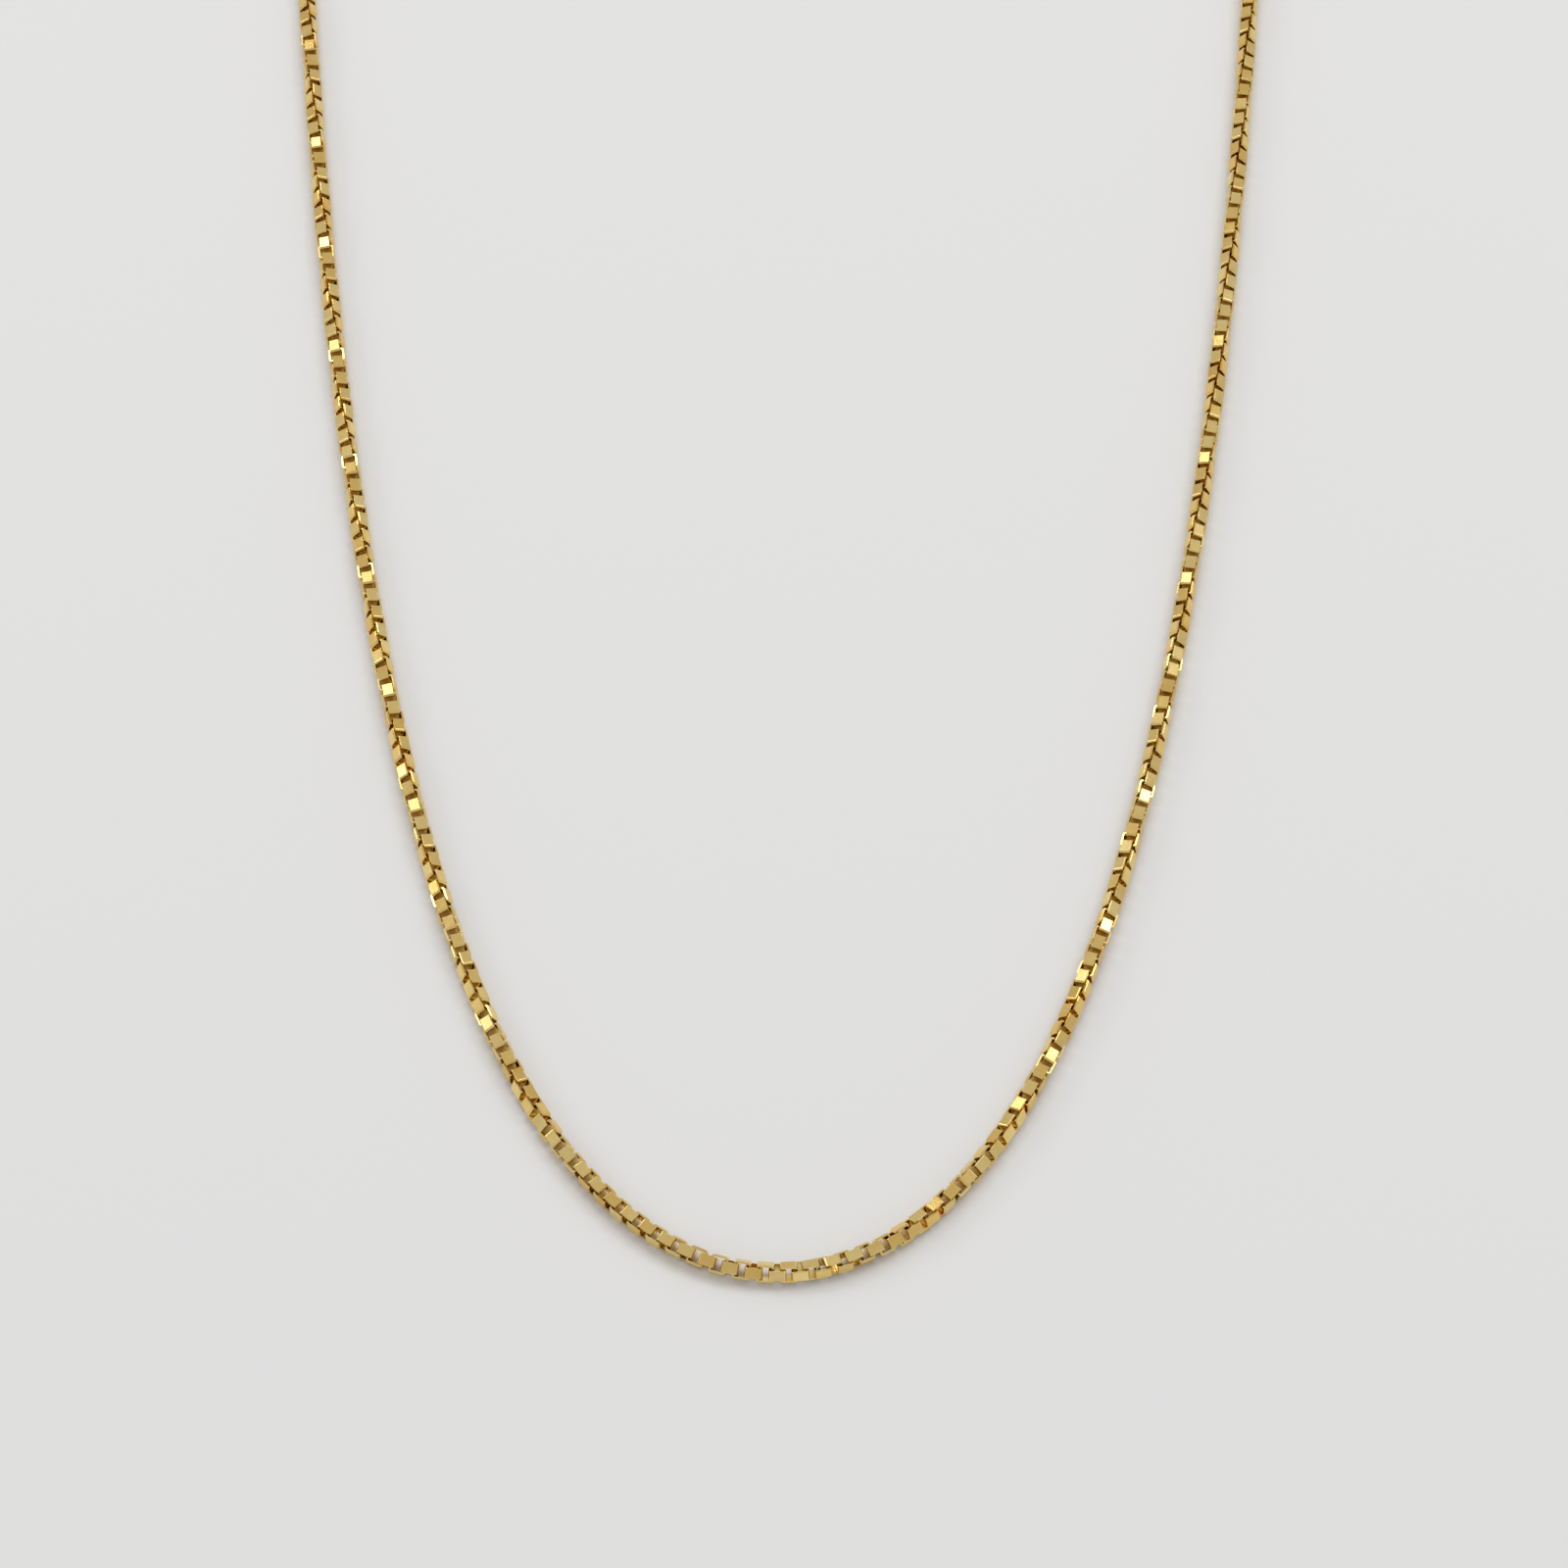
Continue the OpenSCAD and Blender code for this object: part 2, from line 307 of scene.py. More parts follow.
def link_row():
    """The tree that sets a group of links along the chain's lie, each with a little play."""
    tree = bpy.data.node_groups.new("link_row", "GeometryNodeTree")
    graph = Graph(tree)
    kinds = {
        "Link": "NodeSocketGeometry",
        "First": "NodeSocketInt",
        "Count": "NodeSocketInt",
        "All Links": "NodeSocketInt",
        "Left Pitch": "NodeSocketFloat",
        "Right Pitch": "NodeSocketFloat",
        "Front Radius": "NodeSocketFloat",
        "Front": "NodeSocketVector",
        "Flat From": "NodeSocketFloat",
        "Flat To": "NodeSocketFloat",
        "Quarter At": "NodeSocketFloat",
        "Front End": "NodeSocketFloat",
        "Left Twist": "NodeSocketFloat",
        "First Twist": "NodeSocketFloat",
        "Front Twist": "NodeSocketFloat",
        "Right Twist": "NodeSocketFloat",
        "Looseness": "NodeSocketFloat",
        "Seed": "NodeSocketInt",
        "Gold": "NodeSocketMaterial",
    }
    for name, kind in kinds.items():
        tree.interface.new_socket(name, in_out="INPUT", socket_type=kind)
    tree.interface.new_socket("Links", in_out="OUTPUT", socket_type="NodeSocketGeometry")
    link = graph.add("NodeGroupInput", out="Link")
    given = {name: graph.other(link, name) for name in kinds}

    index = graph.add("GeometryNodeInputIndex")
    number = given["First"] + index
    from_middle = number - (given["All Links"] - 1) / 2
    s = from_middle.below(0) * given["Left Pitch"] + from_middle.above(0) * given["Right Pitch"]
    a = given["Front Radius"]
    ratio = s / a
    root = (ratio * ratio + 1) ** 0.5
    reach = ratio + root
    x = a * reach.math("LOGARITHM", reach, math.e)
    y = a * (root - 1)
    heading = s.math("ARCTAN2", s, a)
    roll = (
        given["Left Twist"] * (given["Flat From"] - s).above(0)
        + given["First Twist"] * (s.below(given["Quarter At"]) - given["Flat To"]).above(0)
        + given["Front Twist"] * (s.below(given["Front End"]) - given["Quarter At"]).above(0)
        + given["Right Twist"] * (s - given["Front End"]).above(0)
        + (number % 2) * (math.pi / 2)
    )
    spot = graph.add("ShaderNodeCombineXYZ", {}, {"X": x, "Y": y})
    spot = graph.add("ShaderNodeVectorMath", {"operation": "ADD"}, {0: spot, 1: given["Front"]})
    points = graph.add("GeometryNodePoints", {}, {"Count": given["Count"], "Position": spot})
    turn = graph.add("ShaderNodeCombineXYZ", {}, {"X": roll, "Z": heading})
    turn = graph.add("FunctionNodeEulerToRotation", {}, {"Euler": turn})
    tilt = given["Looseness"] * TILT_SHARE
    ways = graph.add("ShaderNodeCombineXYZ", {}, {"X": given["Looseness"], "Y": tilt, "Z": tilt})
    back = graph.add("ShaderNodeVectorMath", {"operation": "SCALE"}, {0: ways, "Scale": -1.0})
    play = graph.add(
        "FunctionNodeRandomValue",
        {"data_type": "FLOAT_VECTOR"},
        {0: back, 1: ways, "ID": number, "Seed": given["Seed"]},
    )
    play = graph.add("FunctionNodeEulerToRotation", {}, {"Euler": play})
    values = {"Rotation": turn, "Rotate By": play}
    turn = graph.add("FunctionNodeRotateRotation", {"rotation_space": "LOCAL"}, values)
    placed = graph.add(
        "GeometryNodeInstanceOnPoints", {}, {"Points": points, "Instance": link, "Rotation": turn}
    )
    values = {"ID": number, "Seed": given["Seed"] + 1}
    tone = graph.add("FunctionNodeRandomValue", {"data_type": "FLOAT"}, values, out=1)
    placed = graph.add(
        "GeometryNodeStoreNamedAttribute",
        {"data_type": "FLOAT", "domain": "INSTANCE"},
        {"Geometry": placed, "Name": "tone", "Value": tone},
    )
    real = graph.add("GeometryNodeRealizeInstances", {}, {"Geometry": placed})
    golden = graph.add("GeometryNodeSetMaterial", {}, {"Geometry": real, "Material": given["Gold"]})
    graph.add("NodeGroupOutput", {}, {"Links": golden})
    return tree


def set_inputs(modifier, values):
    """Gives a Geometry Nodes modifier its inputs by their names."""
    for item in modifier.node_group.interface.items_tree:
        if item.in_out == "INPUT" and item.name in values:
            modifier[item.identifier] = values[item.name]


def made_plain(name, source):
    """A new object with the source's finished mesh and no modifiers; the source is removed."""
    bpy.context.view_layer.update()
    finished = source.evaluated_get(bpy.context.evaluated_depsgraph_get())
    mesh = bpy.data.meshes.new_from_object(finished)
    mesh.name = name
    bpy.data.objects.remove(source)
    piece = bpy.data.objects.new(name, mesh)
    bpy.context.collection.objects.link(piece)
    return piece


def group_node(g):
    """The name of a group's node and body: 0 is the front group, left is below 0."""
    return "chain_front" if g == 0 else f"chain_{'left' if g < 0 else 'right'}_{abs(g):02d}"


link_mesh, seam_place = bent_link()
link_gold = gold(
    "polished link gold",
    deep=(0.84, 0.53, 0.13),
    pale=(0.97, 0.79, 0.35),
    roughness=(0.13, 0.24),
    ripple=1.6,
    scratch_um=0.5,
    tone="tone",
    seam=seam_place,
)
row_tree = link_row()
for g in range(-SIDE_GROUPS, SIDE_GROUPS + 1):
    row = bpy.data.objects.new("row", link_mesh)
    bpy.context.collection.objects.link(row)
    spacing = row.modifiers.new("link_row", "NODES")
    spacing.node_group = row_tree
    inputs = {
        "First": (g + SIDE_GROUPS) * GROUP_LINKS,
        "Count": GROUP_LINKS,
        "All Links": ALL_LINKS,
        "Left Pitch": LEFT_PITCH * MM,
        "Right Pitch": RIGHT_PITCH * MM,
        "Front Radius": FRONT_RADIUS * MM,
        "Front": tuple(front),
        "Flat From": -FLAT_FROM * MM,
        "Flat To": -FLAT_TO * MM,
        "Quarter At": QUARTER_S * MM,
        "Front End": FRONT_S * MM,
        "Left Twist": math.radians(LEFT_TWIST) / MM,
        "First Twist": math.radians(FIRST_TWIST) / MM,
        "Front Twist": math.radians(FRONT_TWIST) / MM,
        "Right Twist": math.radians(RIGHT_TWIST) / MM,
        "Looseness": LOOSENESS,
        "Seed": LINK_SEED,
        "Gold": link_gold,
    }
    set_inputs(spacing, inputs)
    links = made_plain(f"links_{group_node(g)[6:]}", row)
    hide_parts(group_node(g))
    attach(links, group_node(g))

# ---------------------------------------------------------------------------------------------
# The jump ring: round drawn gold wire, wound on a rod, sawn off and closed round the last link
# of the left strand. The saw cut stays as a hairline, where the ring can be opened again.
# ---------------------------------------------------------------------------------------------

RING_GAP = 0.02
JUMP_WIRE = 0.45
JUMP_RADIUS = 0.95
SAW_CUT = 0.03
SAW_CUT_AT = 62
CLASP_HEIGHT = 1.1
SMOOTH_ANGLE = 40
END_BAR = LINK_LENGTH / 2 - STRIP_THICK / 2


def strand_end(side):
    """The frame at the last link of the left (-1) or right (1) strand, X out along the strand."""
    s = RIGHT_LAST if side > 0 else -LEFT_LAST
    x = FRONT_RADIUS * math.asinh(s / FRONT_RADIUS)
    y = math.hypot(FRONT_RADIUS, s) - FRONT_RADIUS
    turn = math.atan2(s, FRONT_RADIUS) + (math.pi if side < 0 else 0)
    spot = Matrix.Translation((front.x + x * MM, front.y + y * MM, 0))
    return spot @ Matrix.Rotation(turn, 4, "Z")


def ring_seat(inside):
    """How far a ring's middle lies from the end bar that it hangs on."""
    return math.sqrt((inside - RING_GAP) ** 2 - (STRIP_WIDTH / 2) ** 2) - STRIP_THICK / 2


def wire_ring(inside, wire, start=0.0, stop=360.0, steps=64, around=16):
    """Round wire bent about Z from start to stop degrees; a full turn is closed."""
    closed = stop - start == 360
    rings = []
    for i in range(steps if closed else steps + 1):
        turn = math.radians(start + (stop - start) * i / steps)
        out = Vector((math.cos(turn), math.sin(turn), 0))
        middle = out * (inside + wire / 2)
        ring = []
        for k in range(around):
            lean = 2 * math.pi * k / around
            away = out * math.cos(lean) + Vector((0, 0, math.sin(lean)))
            ring.append(middle + away * wire / 2)
        rings.append(ring)
    return skin(rings, loop=closed)


def dressed(name, mesh, place, material):
    """The finished piece: a mesh in millimetres put in its place, in metres, with its gold."""
    mesh.transform(place @ Matrix.Scale(MM, 4))
    mesh.name = name
    mesh.materials.clear()
    mesh.materials.append(material)
    mesh.polygons.foreach_set("use_smooth", [True] * len(mesh.polygons))
    mesh.set_sharp_from_angle(angle=math.radians(SMOOTH_ANGLE))
    piece = bpy.data.objects.new(name, mesh)
    bpy.context.collection.objects.link(piece)
    return piece


def shifted(x, y, z):
    """A move in millimetres, for a matrix that is already in metres."""
    return Matrix.Translation((x * MM, y * MM, z * MM))


wire_gold = gold(
    "polished wire gold",
    deep=(0.72, 0.49, 0.15),
    pale=(0.92, 0.71, 0.32),
    roughness=(0.10, 0.20),
    ripple=1.0,
    scratch_um=0.8,
)
left_end = strand_end(-1)
jump_reach = ring_seat(JUMP_RADIUS) + JUMP_RADIUS + JUMP_WIRE / 2
jump_rise = math.asin((CLASP_HEIGHT - front.z / MM) / jump_reach)
on_last_bar = left_end @ shifted(END_BAR, 0, front.z / MM)
jump_lean = Matrix.Rotation(-jump_rise, 4, "Y")
jump_place = on_last_bar @ jump_lean @ shifted(ring_seat(JUMP_RADIUS), 0, 0)
half_cut = math.degrees(SAW_CUT / 2 / (JUMP_RADIUS + JUMP_WIRE / 2))
cut_from, cut_to = SAW_CUT_AT + half_cut, SAW_CUT_AT + 360 - half_cut
jump_mesh = wire_ring(JUMP_RADIUS, JUMP_WIRE, cut_from, cut_to)
jump_ring = dressed("jump_ring_wire", jump_mesh, jump_place, wire_gold)
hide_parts("jump_ring")
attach(jump_ring, "jump_ring")

# ---------------------------------------------------------------------------------------------
# The swivel eye: a cast loop on a turned shank. The shank goes through the clasp's tail and is
# spread into a head inside, so that the clasp turns on it and the chain never kinks.
# ---------------------------------------------------------------------------------------------

EYE_WIRE = 0.5
EYE_RADIUS = 0.6
EYE_GAP = 0.03
TAIL_GAP = 0.15
SHANK_ROOT = 0.30
SHANK_FLARE = 0.05
SHANK_FLARE_FROM = 0.28
SHANK_FLARE_TO = 0.34
SHANK_RADIUS = 0.32
HEAD_RADIUS = 0.5
HEAD_LENGTH = 0.4
HEAD_FRONT = (0.05, 0.03)
HEAD_BACK = (0.12, 0.14)
NECK_LENGTH = 0.6
PLAY = 0.04
EYE_GRAIN = 0.045
SOFTEN_SHARE = 0.5
SOFTEN_ROUNDS = 3

jump_far = END_BAR + jump_reach * math.cos(jump_rise)
eye_x = jump_far - JUMP_WIRE / 2 + EYE_RADIUS - EYE_GAP
tail_x = eye_x + EYE_RADIUS + EYE_WIRE + TAIL_GAP
clasp_place = left_end @ shifted(tail_x, 0, CLASP_HEIGHT)


def turned(profile, around=40):
    """A lathe-turned solid along X, from its profile of (x, radius) points."""
    rings = []
    for x, radius in profile:
        turns = [2 * math.pi * k / around for k in range(around)]
        rings.append([(x, radius * math.cos(t), radius * math.sin(t)) for t in turns])
    return skin(rings)


def carved(base, cuts=(), joins=(), grain=0.0):
    """A solid with others joined to it and cut from it; with a grain, its edges are softened."""
    holder = bpy.data.objects.new("carved", base)
    bpy.context.collection.objects.link(holder)
    tools = []
    for operation, meshes in (("UNION", joins), ("DIFFERENCE", cuts)):
        for mesh in meshes:
            tool = bpy.data.objects.new("tool", mesh)
            bpy.context.collection.objects.link(tool)
            tools.append(tool)
            step = holder.modifiers.new("carve", "BOOLEAN")
            step.operation = operation
            step.solver = "EXACT"
            step.object = tool
    if grain:
        remesh = holder.modifiers.new("grain", "REMESH")
        remesh.mode = "VOXEL"
        remesh.voxel_size = grain
        soften = holder.modifiers.new("soften", "SMOOTH")
        soften.factor = SOFTEN_SHARE
        soften.iterations = SOFTEN_ROUNDS
    piece = made_plain("carved", holder)
    mesh = piece.data
    bpy.data.objects.remove(piece)
    for tool in tools:
        bpy.data.objects.remove(tool)
    return mesh


eye_centre = eye_x - tail_x
loop_mesh = wire_ring(EYE_RADIUS, EYE_WIRE)
loop_mesh.transform(Matrix.Translation((eye_centre, 0, 0)) @ Matrix.Rotation(math.pi / 2, 4, "X"))
loop_edge = eye_centre + EYE_RADIUS + EYE_WIRE / 2
head_x = NECK_LENGTH + PLAY
head_end = head_x + HEAD_LENGTH
shank_mesh = turned([
    (loop_edge, SHANK_ROOT),
    (loop_edge + SHANK_FLARE_FROM, SHANK_RADIUS + SHANK_FLARE),
    (loop_edge + SHANK_FLARE_TO, SHANK_RADIUS),
    (head_x, SHANK_RADIUS),
    (head_x, HEAD_RADIUS - HEAD_FRONT[1]),
    (head_x + HEAD_FRONT[0], HEAD_RADIUS),
    (head_end - HEAD_BACK[0], HEAD_RADIUS),
    (head_end, HEAD_RADIUS - HEAD_BACK[1]),
])
eye_mesh = carved(loop_mesh, joins=[shank_mesh], grain=EYE_GRAIN)
swivel_eye = dressed("swivel_eye_cast", eye_mesh, clasp_place, wire_gold)
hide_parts("swivel_eye")
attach(swivel_eye, "swivel_eye")

# ---------------------------------------------------------------------------------------------
# The clasp body: cast yellow gold, a drop with a round nose and a hook at its tip. Its faces
# are domed at the edges, a slot is milled in its side for the trigger, and it is hand polished.
# ---------------------------------------------------------------------------------------------

CLASP_THICK = 2.2
TAIL_RADIUS = 0.9
NOSE_RADIUS = 2.15
NOSE_X = 6.6
MOUTH_RADIUS = 1.2
MOUTH_X = NOSE_X + 0.1
MOUTH_BACK_RADIUS = 0.75
MOUTH_BACK_X = 4.6
MOUTH_FLARE = 0.3
DOME = 0.62
DOME_STEPS = 6
PIN_X = 2.9
PIN_Y = -0.45
PIN_RADIUS = 0.3
CHEEK_RADIUS = 1.05
GATE_Y = -0.35
GATE_SWING = 80
GATE_STEPS = 24
BLADE_REACH = 4.75
HOOK_GAP = 0.08
SLOT_X = 1.9
SLOT_END_X = 4.7
SLOT_WALL_Y = 0.55
SLOT_HEIGHT = 1.0
POCKET_END = 1.4
BORE_END = 1.5
CLEAR = 0.5
BODY_GRAIN = 0.05


def drop_outline(x1, r1, x2, r2, around=48):
    """Two round ends on the X axis joined by their outer tangents, as a list of points."""
    lean = math.asin((r2 - r1) / (x2 - x1))
    points = []
    for i in range(around + 1):
        turn = -math.pi / 2 - lean + (math.pi + 2 * lean) * i / around
        points.append((x2 + r2 * math.cos(turn), r2 * math.sin(turn)))
    for i in range(around + 1):
        turn = math.pi / 2 + lean + (math.pi - 2 * lean) * i / around
        points.append((x1 + r1 * math.cos(turn), r1 * math.sin(turn)))
    return points


def stacked(outline, levels):
    """A solid with outline(grow) at each height, for levels of (height, grow)."""
    return skin([[(x, y, z) for x, y in outline(grow)] for z, grow in levels])


def domed(top, dome, sign, past=0.0):
    """Levels of an edge rounded off by a quarter circle, drawn in (-1) or flared out (1)."""
    levels = [(top + past, sign * dome)] if past else []
    for i in range(DOME_STEPS + 1):
        turn = math.radians(90 - 90 / DOME_STEPS * i)
        levels.append((top - dome + dome * math.sin(turn), sign * dome * (1 - math.cos(turn))))
    return levels + [(-z, grow) for z, grow in reversed(levels)]


def round_prism(x, y, radius, top, around=48):
    """An upright round bar about Z."""
    turns = [2 * math.pi * k / around for k in range(around)]
    ring = [(x + radius * math.cos(t), y + radius * math.sin(t)) for t in turns]
    return skin([[(px, py, z) for px, py in ring] for z in (-top, top)])


def block(low, high):
    """A plain block between two corners, as a cutter."""
    ring = [(low[0], low[1]), (high[0], low[1]), (high[0], high[1]), (low[0], high[1])]
    return skin([[(x, y, z) for x, y in ring] for z in (low[2], high[2])])


def cut_gate():
    """Where the trigger's blade swings: from the cheek's round to the tip of the hook."""
    reach = BLADE_REACH + HOOK_GAP
    y = GATE_Y - PIN_Y
    swing = math.radians(GATE_SWING)
    arcs = []
    for radius in (reach, CHEEK_RADIUS):
        turns = [math.asin(y / radius) - swing * i / GATE_STEPS for i in range(GATE_STEPS + 1)]
        arcs.append([(PIN_X + radius * math.cos(t), PIN_Y + radius * math.sin(t)) for t in turns])
    points = arcs[0] + arcs[1][::-1]
    return skin([[(x, y, z) for x, y in points] for z in (-CLASP_THICK, CLASP_THICK)])


clasp_gold = gold(
    "polished cast gold",
    deep=(0.70, 0.47, 0.14),
    pale=(0.92, 0.71, 0.31),
    roughness=(0.11, 0.22),
    ripple=2.2,
    scratch_um=1.0,
)
top = CLASP_THICK / 2
body_base = stacked(
    lambda grow: drop_outline(TAIL_RADIUS, TAIL_RADIUS + grow, NOSE_X, NOSE_RADIUS + grow),
    domed(top, DOME, -1),
)
mouth_cut = stacked(
    lambda grow: drop_outline(MOUTH_BACK_X, MOUTH_BACK_RADIUS + grow, MOUTH_X, MOUTH_RADIUS + grow),
    domed(top, MOUTH_FLARE, 1, past=CLEAR),
)
body_mesh = carved(
    body_base,
    cuts=[
        mouth_cut,
        cut_gate(),
        block((SLOT_X, -NOSE_RADIUS, -SLOT_HEIGHT / 2), (SLOT_END_X, SLOT_WALL_Y, SLOT_HEIGHT / 2)),
        turned([(-CLEAR, SHANK_RADIUS + PLAY), (BORE_END, SHANK_RADIUS + PLAY)]),
        turned([(NECK_LENGTH, HEAD_RADIUS + PLAY), (POCKET_END, HEAD_RADIUS + PLAY)]),
        round_prism(PIN_X, PIN_Y, PIN_RADIUS, CLASP_THICK),
    ],
    grain=BODY_GRAIN,
)
clasp_body = dressed("clasp_body_cast", body_mesh, clasp_place, clasp_gold)
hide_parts("clasp_body")
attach(clasp_body, "clasp")

# ---------------------------------------------------------------------------------------------
# The trigger: a cast lever on the pin. Its blade closes the mouth up to the hook's tip, and
# its thumb tab stands out of the slot, to be pulled back against the leaf spring.
# ---------------------------------------------------------------------------------------------

LUG_RADIUS = 0.62
BLADE_Y = -0.55
PAST = 1
TRIGGER_GRAIN = 0.04
THUMB_TAB = [
    (-0.55, -0.2),
    (-0.95, -1.9),
    (-0.8, -2.05),
    (-0.5, -1.95),
    (0.45, -0.95),
    (0.5, -0.2),
]

blade_top = SLOT_HEIGHT / 2 - PLAY
nose_edge = NOSE_RADIUS + PAST
blade_reach = round_prism(PIN_X, PIN_Y, BLADE_REACH, 2 * blade_top, around=96)
blade = carved(
    stacked(
        lambda grow: drop_outline(TAIL_RADIUS, TAIL_RADIUS + grow, NOSE_X, NOSE_RADIUS + grow),
        [(blade_top, 0), (-blade_top, 0)],
    ),
    cuts=[
        stacked(
            lambda grow: drop_outline(MOUTH_BACK_X, MOUTH_BACK_RADIUS, MOUTH_X, MOUTH_RADIUS),
            [(PAST, 0), (-PAST, 0)],
        ),
        block((-PAST, -nose_edge, -PAST), (PIN_X, nose_edge, PAST)),
        block((PIN_X - PAST, BLADE_Y, -PAST), (NOSE_X + nose_edge, nose_edge, PAST)),
        carved(
            block((PIN_X - PAST, -nose_edge, -PAST), (NOSE_X + nose_edge, BLADE_Y + PAST, PAST)),
            cuts=[blade_reach],
        ),
    ],
)
tab = skin([[(PIN_X + x, PIN_Y + y, z) for x, y in THUMB_TAB] for z in (-blade_top, blade_top)])
lug = round_prism(PIN_X, PIN_Y, LUG_RADIUS, blade_top)
pin_hole = round_prism(PIN_X, PIN_Y, PIN_RADIUS + PLAY, PAST)
trigger_mesh = carved(lug, joins=[blade, tab], cuts=[pin_hole], grain=TRIGGER_GRAIN)
trigger = dressed("trigger_cast", trigger_mesh, clasp_place, clasp_gold)
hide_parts("clasp_trigger")
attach(trigger, "trigger")

# ---------------------------------------------------------------------------------------------
# The pin: drawn gold rod, pressed through both cheeks of the clasp, riveted over and filed
# almost flush, so that each end shows as a faintly domed disc.
# ---------------------------------------------------------------------------------------------

PIN_DOME = [(0, 0.16), (0.02, 0.26), (0.06, PIN_RADIUS)]

pin_end = CLASP_THICK / 2
pin_profile = [(-pin_end + drop, radius) for drop, radius in PIN_DOME]
pin_profile += [(pin_end - drop, radius) for drop, radius in reversed(PIN_DOME)]
pin_mesh = turned(pin_profile)
pin_place = clasp_place @ shifted(PIN_X, PIN_Y, 0) @ Matrix.Rotation(math.pi / 2, 4, "Y")
pin = dressed("clasp_pin_rod", pin_mesh, pin_place, wire_gold)
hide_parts("clasp_pin")
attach(pin, "clasp")

# ---------------------------------------------------------------------------------------------
# The leaf spring: a strip of hard drawn gold alloy, lying along the slot's back wall, with its
# free end bent in so that it presses the trigger shut.
# ---------------------------------------------------------------------------------------------

LEAF_THICK = 0.12
LEAF_WIDTH = 0.7
LEAF_EDGE = 0.7
LEAF_FLAT = 0.94
LEAF_TIP = (3.81, 0.16)
LEAF_BENDS = [(2.6, 0), (3.2, 0), (3.38, 0.02), (3.5, 0.08), (3.62, 0.17)]

spring_gold = gold(
    "drawn spring gold",
    deep=(0.52, 0.34, 0.10),
    pale=(0.74, 0.54, 0.22),
    roughness=(0.2, 0.34),
    ripple=1.0,
    scratch_um=1.4,
)
leaf_y = SLOT_WALL_Y - PLAY - LEAF_THICK / 2
leaf_line = [(SLOT_X + PLAY, leaf_y), *((x, leaf_y - drop) for x, drop in LEAF_BENDS), LEAF_TIP]
leaf_rings = []
for i, (x, y) in enumerate(leaf_line):
    before, after = leaf_line[max(i - 1, 0)], leaf_line[min(i + 1, len(leaf_line) - 1)]
    way = (Vector(after) - Vector(before)).normalized()
    across = Vector((-way.y, way.x, 0)) * LEAF_THICK / 2
    ring = []
    for side, up in ((-1, -1), (1, -1), (1, 1), (-1, 1)):
        bevel = [(LEAF_EDGE, 1), (1, LEAF_FLAT)]
        for out, rise in bevel[::-1] if side * up < 0 else bevel:
            lift = Vector((0, 0, up * LEAF_WIDTH / 2 * rise))
            ring.append(Vector((x, y, 0)) + across * side * out + lift)
    leaf_rings.append(ring)
spring = dressed("leaf_spring_strip", skin(leaf_rings), clasp_place, spring_gold)
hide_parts("clasp_spring")
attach(spring, "clasp")

# ---------------------------------------------------------------------------------------------
# The catch ring: slightly heavier round drawn gold wire on the last link of the right strand,
# soldered shut with the joint polished away. The clasp hooks into it.
# ---------------------------------------------------------------------------------------------

CATCH_WIRE = 0.5
CATCH_RADIUS = 1.2

right_end = strand_end(1)
catch_reach = ring_seat(CATCH_RADIUS) + CATCH_RADIUS + CATCH_WIRE / 2
catch_dip = math.asin((front.z / MM - CATCH_WIRE / 2) / catch_reach)
catch_place = (
    right_end
    @ shifted(END_BAR, 0, front.z / MM)
    @ Matrix.Rotation(catch_dip, 4, "Y")
    @ shifted(ring_seat(CATCH_RADIUS), 0, 0)
)
catch_ring = dressed("catch_ring_wire", wire_ring(CATCH_RADIUS, CATCH_WIRE), catch_place, wire_gold)
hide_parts("catch_ring")
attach(catch_ring, "catch_ring")

# ---------------------------------------------------------------------------------------------
# The table: a plain pale satin slab, much larger than the necklace.
# ---------------------------------------------------------------------------------------------

TABLE_HALF = 3.0
TABLE_COLOUR = (0.85, 0.845, 0.84, 1)
TABLE_ROUGHNESS = 0.55

table_mesh = bpy.data.meshes.new("table")
signs = ((-1, -1), (1, -1), (1, 1), (-1, 1))
corners = [(TABLE_HALF * x, TABLE_HALF * y, 0) for x, y in signs]
table_mesh.from_pydata(corners, [], [(0, 1, 2, 3)])
slab = bpy.data.materials.new("pale slab")
slab.use_nodes = True
slab_graph = Graph(slab.node_tree)
slab_values = {"Base Color": TABLE_COLOUR, "Roughness": TABLE_ROUGHNESS}
slab_shader = slab_graph.add("ShaderNodeBsdfPrincipled", {}, slab_values)
slab_graph.add("ShaderNodeOutputMaterial", {}, {"Surface": slab_shader})
table_mesh.materials.append(slab)
table = bpy.data.objects.new("table", table_mesh)
bpy.context.collection.objects.link(table)

# ---------------------------------------------------------------------------------------------
# Studio light: a broad flood overhead that no metal reflects, a weaker box in the same place
# that it does, three small windows, and a pale room around. Sizes are in metres, power in watts.
# ---------------------------------------------------------------------------------------------

OVERHEAD_WAY = (0.15, 0.5, 1.0)
OVERHEAD_AWAY = 1.3
OVERHEAD_SIZE = (1.1, 0.8)
WINDOW_AWAY = 1.2
AIM_BEHIND_FRONT = 0.05
ROOM_COLOUR = (0.88, 0.88, 0.885, 1)
ROOM_STRENGTH = 0.64


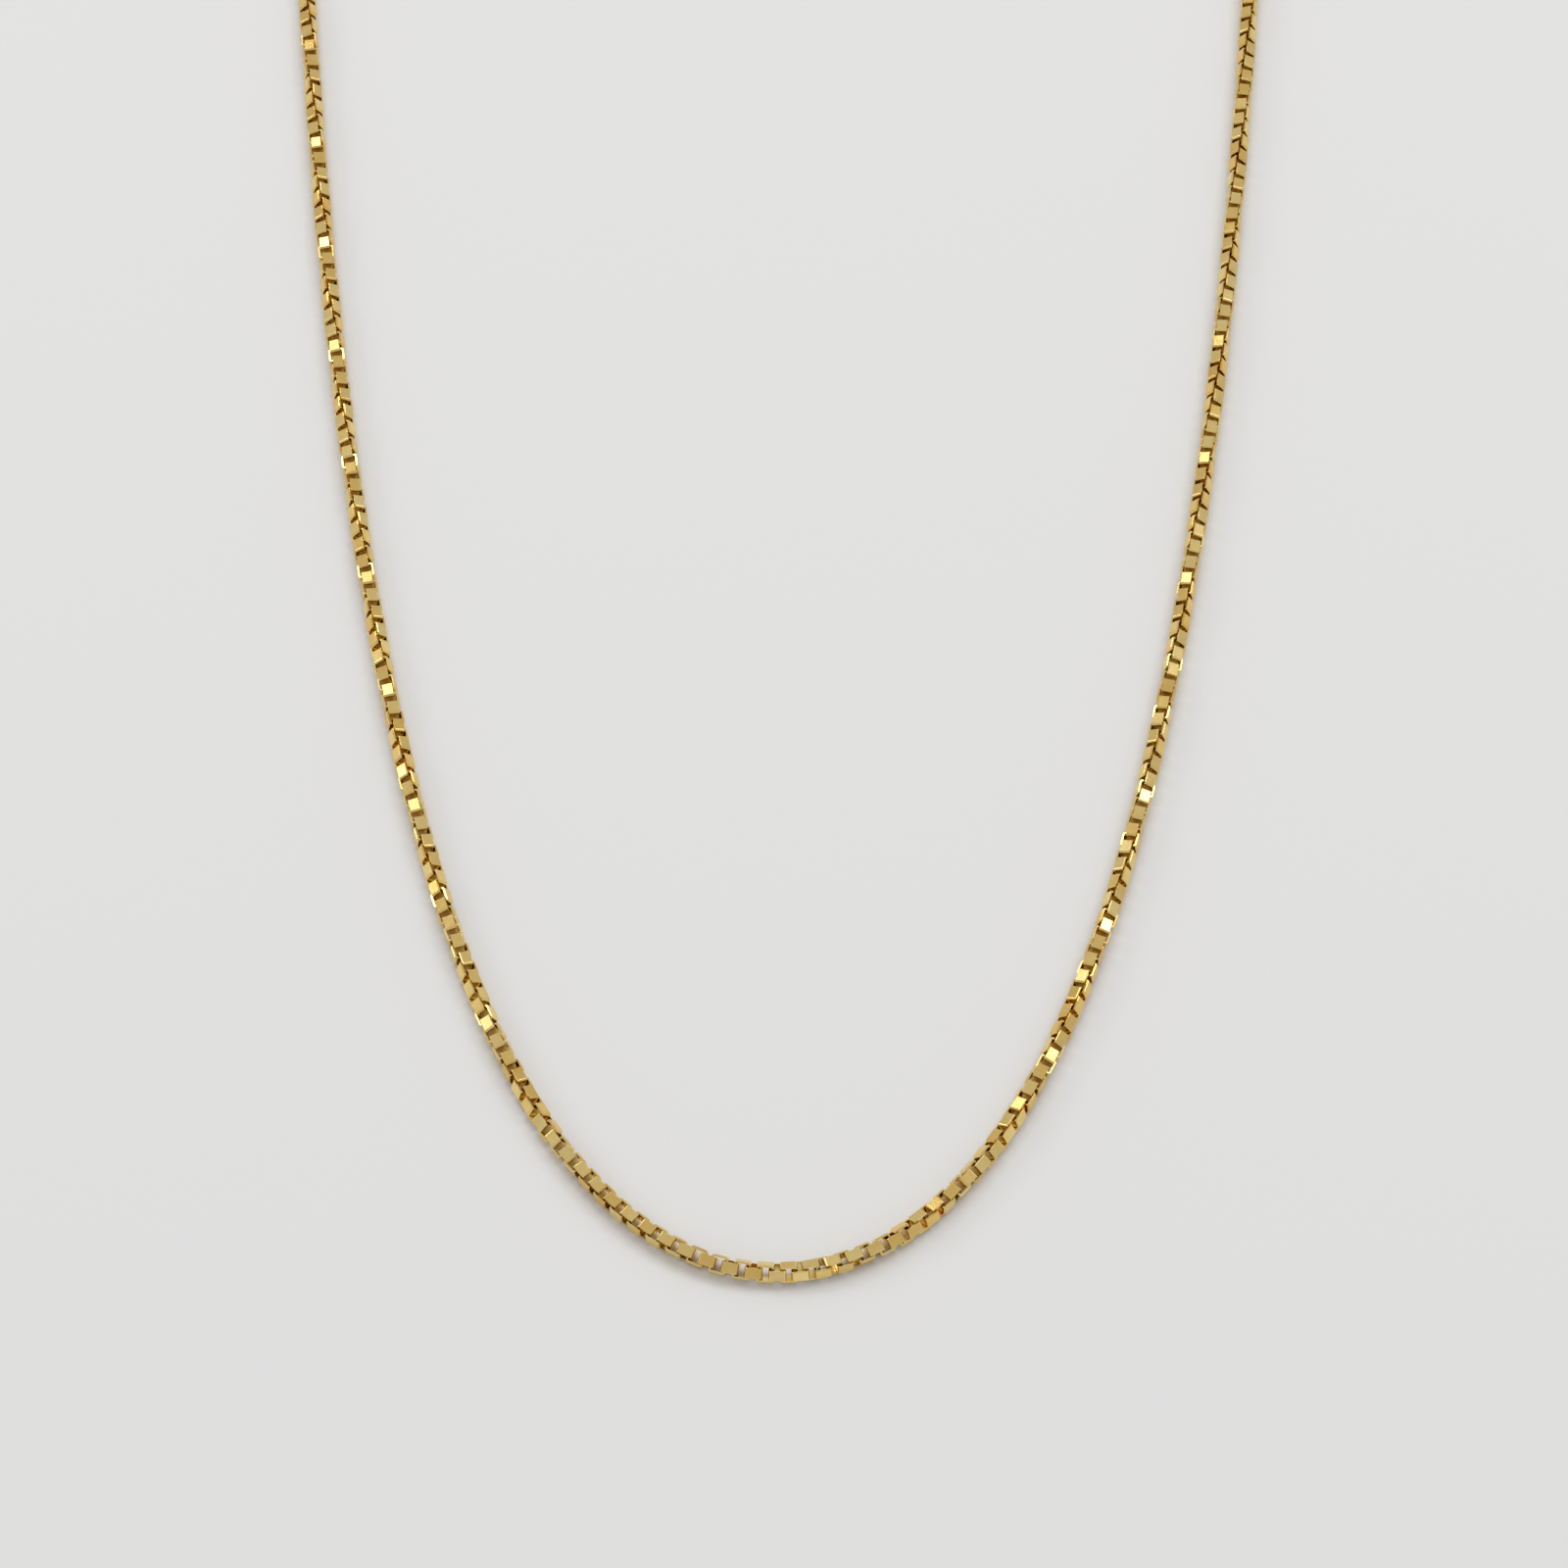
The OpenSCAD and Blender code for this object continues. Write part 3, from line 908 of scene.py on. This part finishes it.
def softbox(name, direction, distance, size, power, tint=(1, 1, 1)):
    """A rectangular lamp, in a direction from a point in the necklace's curve and facing it."""
    lamp = bpy.data.lights.new(name, "AREA")
    lamp.shape = "RECTANGLE"
    lamp.size, lamp.size_y = size
    lamp.energy = power
    lamp.color = tint
    holder = bpy.data.objects.new(name, lamp)
    away = Vector(direction).normalized()
    holder.location = front + Vector((0, AIM_BEHIND_FRONT, 0)) + away * distance
    holder.rotation_euler = away.to_track_quat("Z", "Y").to_euler()
    bpy.context.collection.objects.link(holder)
    return holder


flood = softbox("overhead flood", OVERHEAD_WAY, OVERHEAD_AWAY, OVERHEAD_SIZE, power=3.7)
flood.visible_glossy = False
softbox("overhead box", OVERHEAD_WAY, OVERHEAD_AWAY, OVERHEAD_SIZE, power=1.2)
warm = (1.0, 0.98, 0.95)
softbox("right window", (0.59, 0.34, 0.74), WINDOW_AWAY, (0.22, 0.3), power=1.1, tint=warm)
softbox("left window", (-0.85, 0.26, 0.46), WINDOW_AWAY, (0.2, 0.35), power=1.2)
softbox("back window", (-0.31, 0.6, 0.74), WINDOW_AWAY, (0.2, 0.2), power=0.7)

room = bpy.data.worlds.new("room")
room.use_nodes = True
room_graph = Graph(room.node_tree)
room_values = {"Color": ROOM_COLOUR, "Strength": ROOM_STRENGTH}
background = room_graph.add("ShaderNodeBackground", {}, room_values)
room_graph.add("ShaderNodeOutputWorld", {}, {"Surface": background})
bpy.context.scene.world = room
bpy.context.scene.view_settings.view_transform = "Standard"

# ---------------------------------------------------------------------------------------------
# The camera: a long lens, in front of and above the curve, without tilt to either side.
# Heights and distances are in metres from the front of the necklace.
# ---------------------------------------------------------------------------------------------

EYE_HEIGHT = 0.3267
EYE_BACK = 0.17597
EYE_SIDE = 0.0005
EYE_ELEVATION = 56
LENS = 112.5

lens = bpy.data.cameras.new("camera")
lens.lens = LENS
camera = bpy.data.objects.new("camera", lens)
camera.location = (front.x + EYE_SIDE, front.y - EYE_BACK, front.z + EYE_HEIGHT)
camera.rotation_euler = (math.radians(90 - EYE_ELEVATION), 0, 0)
bpy.context.collection.objects.link(camera)
bpy.context.scene.camera = camera
